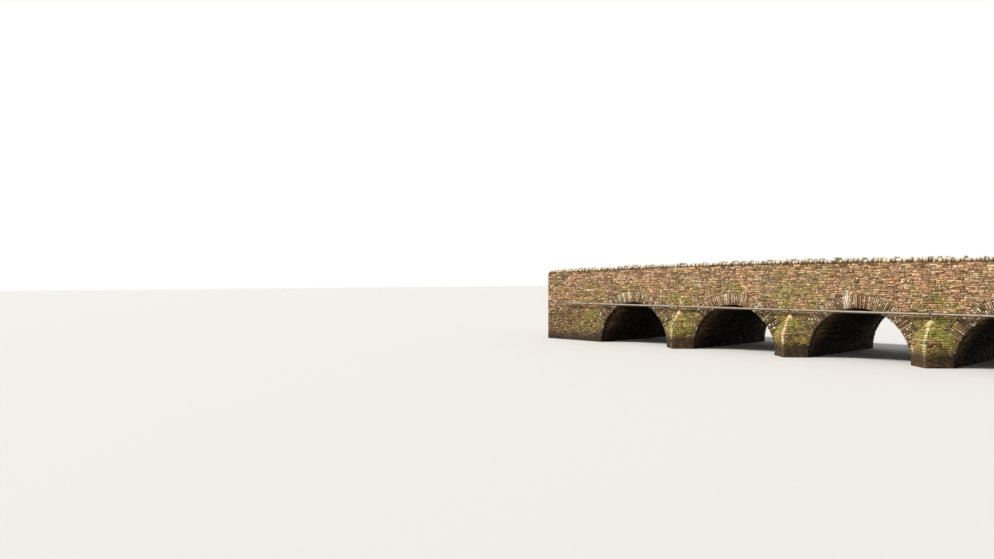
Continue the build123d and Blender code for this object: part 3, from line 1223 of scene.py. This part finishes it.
# %% Bed and fill
def plain_material(name, dark, pale, scale=30.0, roughness=0.85, relief=0.6, distance=0.01):
    """Two tones of one stuff, mixed by noise, with a bump of the same noise."""
    material, tree, shader = new_material(name)
    place = place_of(tree)
    broad = noise_at(place, scale * 0.12, 4.0)
    fine = noise_at(place, scale, 6.0, 0.7)
    both = plus(times(broad, 0.6), times(fine, 0.4))
    colour = mixed(ranged(both, 0.38, 0.62), (*dark, 1.0), (*pale, 1.0))
    link(colour, shader.inputs["Base Color"])
    link(ranged(fine, 0.2, 0.8, roughness - 0.12, roughness + 0.06), shader.inputs["Roughness"])
    bump_up(shader, fine, relief, distance)
    return material


bed_finish = plain_material("bed", (0.06, 0.042, 0.028), (0.17, 0.12, 0.08), roughness=0.9)
# Under the arches and in the piers the bed is nearly black: painted shade.
shaded_bed_finish = plain_material("dark bed", (0.012, 0.01, 0.008), (0.04, 0.03, 0.022))
print("bed materials made")

# %% [markdown]
# The road is an old lane: dark chippings rolled into tar, worn smoother and paler in two wheel tracks, with
# grit and moss gathered along the parapets where nothing drives.

# %% Road
WHEEL_TRACK = 0.78
CHIPS = 70.0


def road_material():
    material, tree, shader = new_material("road")
    place = place_of(tree)
    from_middle = maths("ABSOLUTE", parts_of(place)[1])
    drift = times(minus(noise_at(place, 0.9, 4.0), 0.5), 0.9)
    off_track = maths("ABSOLUTE", minus(from_middle, WHEEL_TRACK))
    worn = ranged(plus(off_track, drift), 0.1, 0.5, 1.0, 0.0)
    chips = add(tree, "ShaderNodeTexVoronoi")
    fill(chips, {"Scale": CHIPS})
    link(place, chips.inputs["Vector"])
    separated = add(tree, "ShaderNodeSeparateColor")
    link(chips.outputs["Color"], separated.inputs[0])
    first, second, third = separated.outputs
    tar = mixed(ranged(first, 0.2, 1.0), (0.07, 0.066, 0.062, 1), (0.21, 0.195, 0.18, 1))
    smooth = mixed(ranged(second, 0.0, 1.0), (0.17, 0.162, 0.15, 1), (0.26, 0.245, 0.225, 1))
    colour = mixed(times(worn, 0.75), tar, smooth)
    gritty = ranged(plus(from_middle, drift), HALF_INSIDE - 0.65, HALF_INSIDE - 0.25)
    grit = mixed(third, (0.14, 0.1, 0.065, 1), (0.36, 0.29, 0.2, 1))
    colour = mixed(gritty, colour, grit)
    near_wall = plus(from_middle, times(drift, 1.6))
    mossy_edge = ranged(near_wall, HALF_INSIDE - 0.25, HALF_INSIDE + 0.05)
    tufts = ranged(noise_at(place, 40.0), 0.35, 0.65)
    moss = mixed(tufts, (0.07, 0.08, 0.015, 1), (0.2, 0.2, 0.05, 1))
    link(mixed(mossy_edge, colour, moss), shader.inputs["Base Color"])
    fill(shader, {"Roughness": 0.92, "Specular IOR Level": 0.25})
    bump_up(shader, chips.outputs["Distance"], 0.6, 0.008)
    return material


road_finish = road_material()
print("material", road_finish.name)

# %% [markdown]
# ## The pipe
# The service pipe is painted steel that has faded to beige. Dirt lies on its top, its underside is painted
# dark as shade, and rust blooms along it in streaks, more of them below. Its brackets are plain rusted iron.

# %% Pipe and brackets
def pipe_material():
    material, tree, shader = new_material("faded pipe paint")
    place = place_of(tree)
    facing_up = facing_of(tree)[2]
    faded = ranged(noise_at(place, 5.0, 5.0), 0.35, 0.65)
    colour = mixed(faded, (0.27, 0.22, 0.165, 1), (0.38, 0.325, 0.255, 1))
    # The underside is painted dark: painted shade.
    colour = mixed(ranged(facing_up, -0.5, 0.15), dyed(colour, (0.16, 0.13, 0.1)), colour)
    lying = plus(facing_up, times(noise_at(place, 3.0, 4.0), 0.5))
    colour = mixed(ranged(lying, 0.85, 1.15), colour, (0.11, 0.085, 0.055, 1))
    streaks = noise_at(place, 9.0, 6.0, 0.75, (0.35, 1.0, 1.0))
    below = ranged(facing_up, -0.9, 0.4, 0.12, 0.0)
    rusty = ranged(plus(streaks, below), 0.6, 0.7)
    link(mixed(rusty, colour, (0.16, 0.07, 0.035, 1)), shader.inputs["Base Color"])
    link(ranged(rusty, 0.0, 1.0, 0.55, 0.9), shader.inputs["Roughness"])
    bump_up(shader, streaks, 0.4, 0.004)
    return material


pipe_finish = pipe_material()
iron_finish = plain_material(
    "rusted iron", (0.05, 0.03, 0.02), (0.17, 0.08, 0.045), scale=60.0, relief=0.5, distance=0.003
)
print("materials", pipe_finish.name, "and", iron_finish.name)

# %% [markdown]
# Each mass is given the finish of its slot. What the stones cover shows in their joints only.

# %% Give every mass its finish
FINISHES = {
    **dict.fromkeys(("wall_stone", "cutwater_stone", "cope_stone", "rubble_fill"), bed_finish),
    **dict.fromkeys(("ring_stone", "vault_stone", "pier_stone"), shaded_bed_finish),
    "road": road_finish,
    "pipe": pipe_finish,
    "bracket": iron_finish,
}
slots = {part["node"]: part["material_slot"] for part in frame["record"]["subparts"]}
for name, node in frame["nodes"].items():
    node.data.materials.clear()
    node.data.materials.append(FINISHES[slots[name]])
print(len(slots), "masses finished")
